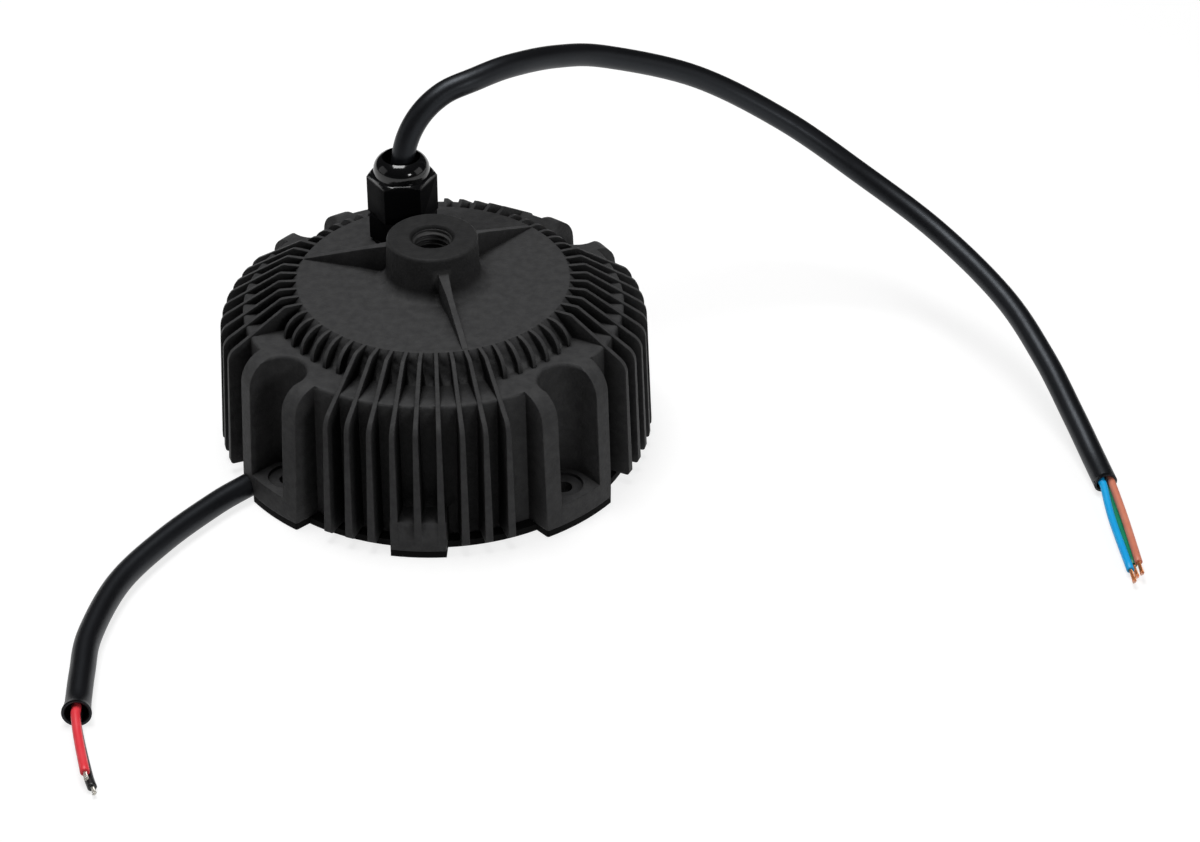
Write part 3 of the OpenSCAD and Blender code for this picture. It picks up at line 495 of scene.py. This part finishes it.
finishes = {
    # cut_thread: a lighter grey than the coat, a painted highlight for the glints on its ridges, and a painted shade
    # in its grooves
    "cut_thread": dict(colour=(0.31, 0.31, 0.31), second=(0.27, 0.27, 0.27), rough=(0.34, 0.46), grain=1500,
                       patch=200, bump=0.00002, metal=0.3, specular=0.3, recess=(0.0015, 0.9)),
    # cast_housing: the recess share darkens the coat in narrow places and the boss share darkens the boss, both
    # painted shade
    "cast_housing": dict(colour=(0.232, 0.232, 0.235), second=(0.268, 0.268, 0.27), rough=(0.48, 0.68), grain=1100,
                         patch=330, bump=0.00016, specular=0.12, soft=0.0005, recess=(0.012, 0.86),
                         bossShade=(0.0144, 0.0154, 0.52)),
    "black_rubber": dict(colour=(0.035, 0.035, 0.035), second=(0.05, 0.05, 0.05), rough=(0.7, 0.85), grain=1500,
                         patch=90, bump=0.00004, specular=0.08, soft=0.0003),
    "cover_plate": dict(colour=(0.62, 0.63, 0.65), second=(0.7, 0.71, 0.73), rough=(0.3, 0.45), grain=900, patch=30,
                        bump=0.00001, metal=1.0, stretch=(1, 0.04, 1)),
    "screw_steel": dict(colour=(0.72, 0.73, 0.74), second=(0.8, 0.8, 0.8), rough=(0.25, 0.4), grain=1500, patch=200,
                        bump=0.00001, metal=1.0),
    "insulating_film": dict(colour=(0.85, 0.82, 0.7), second=(0.88, 0.85, 0.74), rough=(0.4, 0.5), grain=600,
                            patch=40, bump=0.00001),
    "board_laminate": dict(colour=(0.08, 0.36, 0.2), second=(0.1, 0.42, 0.24), rough=(0.3, 0.45), grain=900,
                           patch=150, bump=0.00002),
    "brown_case": dict(colour=(0.42, 0.26, 0.15), second=(0.48, 0.3, 0.18), rough=(0.3, 0.45), grain=900, patch=120,
                       bump=0.00001),
    "ferrite": dict(colour=(0.2, 0.2, 0.2), second=(0.26, 0.26, 0.26), rough=(0.6, 0.8), grain=1500, patch=120,
                    bump=0.00003),
    "winding_wire": dict(colour=(0.6, 0.33, 0.14), second=(0.7, 0.42, 0.18), rough=(0.25, 0.4), grain=700,
                         patch=200, bump=0.00005, metal=0.8, stretch=(0.2, 0.2, 3)),
    "yellow_case": dict(colour=(0.76, 0.6, 0.14), second=(0.8, 0.66, 0.2), rough=(0.3, 0.45), grain=900, patch=120,
                        bump=0.00001),
    "black_epoxy": dict(colour=(0.08, 0.08, 0.08), second=(0.11, 0.11, 0.11), rough=(0.5, 0.65), grain=1500,
                        patch=120, bump=0.00002),
    "capacitor_sleeve": dict(colour=(0.12, 0.17, 0.29), second=(0.15, 0.2, 0.34), rough=(0.3, 0.4), grain=600,
                             patch=120, bump=0.00001),
    "amber_tape": dict(colour=(0.7, 0.48, 0.15), second=(0.76, 0.55, 0.2), rough=(0.25, 0.4), grain=600, patch=120,
                       bump=0.00002),
    "black_nylon": dict(colour=(0.03, 0.03, 0.034), second=(0.042, 0.042, 0.047), rough=(0.66, 0.76), grain=700,
                        patch=80, bump=0.00001, specular=0.04, tint=(0.9, 0.92, 1.0), soft=0.0004,
                        gloss=(0.079, 0.0806, 0.11)),
    "cable_jacket": dict(colour=(0.05, 0.05, 0.058), second=(0.065, 0.065, 0.075), rough=(0.36, 0.48), grain=900,
                         patch=60, bump=0.00003, specular=0.4, tint=(0.84, 0.91, 1.0)),
    "brown_insulation": dict(colour=(0.9, 0.53, 0.42), second=(0.93, 0.58, 0.47), rough=(0.35, 0.5), grain=900,
                             patch=150, bump=0.00002),
    "blue_insulation": dict(colour=(0.06, 0.7, 1.0), second=(0.1, 0.74, 1.0), rough=(0.35, 0.5), grain=900,
                            patch=150, bump=0.00002),
    "green_insulation": dict(colour=(0.04, 0.55, 0.38), second=(0.06, 0.6, 0.42), rough=(0.35, 0.5), grain=900,
                             patch=150, bump=0.00002),
    "bare_copper": dict(colour=(0.95, 0.63, 0.42), second=(0.98, 0.7, 0.48), rough=(0.25, 0.4), grain=1500,
                        patch=300, bump=0.00001, metal=0.75),
    "red_insulation": dict(colour=(1.0, 0.23, 0.28), second=(1.0, 0.29, 0.33), rough=(0.35, 0.5), grain=900,
                           patch=150, bump=0.00002),
    "black_insulation": dict(colour=(0.09, 0.09, 0.1), second=(0.12, 0.12, 0.13), rough=(0.35, 0.5), grain=900,
                             patch=150, bump=0.00002),
    "tinned_copper": dict(colour=(0.93, 0.92, 0.89), second=(0.97, 0.96, 0.93), rough=(0.25, 0.4), grain=1500,
                          patch=300, bump=0.00001, metal=0.75),
}
materials = {name: makeFinish(name, **values) for name, values in finishes.items()}


# a piece wears one finish all over
def dress(piece, name):
    piece.data.materials.clear()
    piece.data.materials.append(materials[name])


slotOf = {part["node"]: part["material_slot"] for part in frame["record"]["subparts"]}
for name, node in nodes.items():
    dress(node, slotOf[name])
for name, piece in copies.items():
    dress(piece, slotOf[smoothCopies[name]["node"]])
for piece, finish in [(inputJacket, "cable_jacket"), (outputJacket, "cable_jacket"), (inputStrands, "bare_copper"),
                      (outputStrands, "tinned_copper"), (boreThread, "cut_thread"),
                      *[(corePieces[n], c["slot"]) for n, c in cores.items()]]:
    dress(piece, finish)
print("finishes made:", len(materials))

# light levels, and lamps with their places and sizes in metres and their powers in watts
studio = {"bounce": (0.8, 0.8, 0.8), "bounceRough": 0.95, "sheet": (1.0, 1.0, 1.0), "glow": 0.78, "shadow": 0.32,
          "floorHalf": 4.0, "floorDrop": 0.0002, "world": 0.03,
          "lamps": {"key": {"place": (-0.15, 0.1, 1.28), "size": 0.6, "power": 12.0},
                    "front": {"place": (0.72, -0.84, 0.56), "size": 0.22, "power": 2.2},
                    "right": {"place": (1.15, -0.1, 0.5), "size": 0.7, "power": 1.2},
                    "left": {"place": (-1.15, -0.1, 0.5), "size": 0.75, "power": 1.0}}}


# the floor is a grey bounce for the light and a pale sheet for the eye, which keeps part of the shadow
def makeFloor(s):
    corners = np.array([[-1, -1, 0], [1, -1, 0], [1, 1, 0], [-1, 1, 0]]) * s["floorHalf"]
    floor = newPiece("floor", corners, [[0, 1, 2, 3]], smooth=False)
    mat = bpy.data.materials.new("paleFloor")
    mat.use_nodes = True
    n, link = mat.node_tree.nodes, mat.node_tree.links.new
    bounce = n["Principled BSDF"]
    setSockets(bounce, {"Base Color": linear(s["bounce"]), "Roughness": s["bounceRough"], "Specular IOR Level": 0.0})
    sheet, glow = n.new("ShaderNodeBsdfDiffuse"), n.new("ShaderNodeEmission")
    setSockets(sheet, {"Color": (*[s["shadow"]] * 3, 1.0)})
    setSockets(glow, {"Color": linear(s["sheet"]), "Strength": s["glow"]})
    seen, pale, whole = n.new("ShaderNodeLightPath"), n.new("ShaderNodeAddShader"), n.new("ShaderNodeMixShader")
    eye, clear = n.new("ShaderNodeMath"), n.new("ShaderNodeMath")
    eye.operation = clear.operation = "MAXIMUM"
    link(seen.outputs["Is Camera Ray"], eye.inputs[0])
    link(seen.outputs["Is Glossy Ray"], eye.inputs[1])
    link(eye.outputs[0], clear.inputs[0])
    link(seen.outputs["Is Transmission Ray"], clear.inputs[1])
    link(glow.outputs[0], pale.inputs[0])
    link(sheet.outputs[0], pale.inputs[1])
    link(clear.outputs[0], whole.inputs["Fac"])
    link(bounce.outputs[0], whole.inputs[1])
    link(pale.outputs[0], whole.inputs[2])
    link(whole.outputs[0], n["Material Output"].inputs["Surface"])
    floor.data.materials.append(mat)
    floor.location.z = -s["floorDrop"]


# a square lamp that faces the aim: its back axis is the way from the aim to its place
def areaLight(name, place, size, power, aim=(0, 0, 0.03)):
    lamp = bpy.data.lights.new(name, "AREA")
    lamp.shape, lamp.size, lamp.energy = "SQUARE", size, power
    holder = bpy.data.objects.new(name, lamp)
    bpy.context.scene.collection.objects.link(holder)
    way = unit(np.array(place, float) - np.array(aim, float))
    right = unit(np.cross((0, 1, 0) if abs(way[2]) > 0.95 else (0, 0, 1), way))  # another upright for a lamp overhead
    up = np.cross(way, right)
    holder.matrix_world = Matrix([[right[i], up[i], way[i], place[i]] for i in range(3)] + [[0, 0, 0, 1]])


makeFloor(studio)
world = bpy.data.worlds.new("studio")
bpy.context.scene.world = world
world.use_nodes = True
setSockets(world.node_tree.nodes["Background"], {"Color": (1, 1, 1, 1), "Strength": studio["world"]})
for name, lamp in studio["lamps"].items():
    areaLight(name + "Light", **lamp)
print("floor and light made")
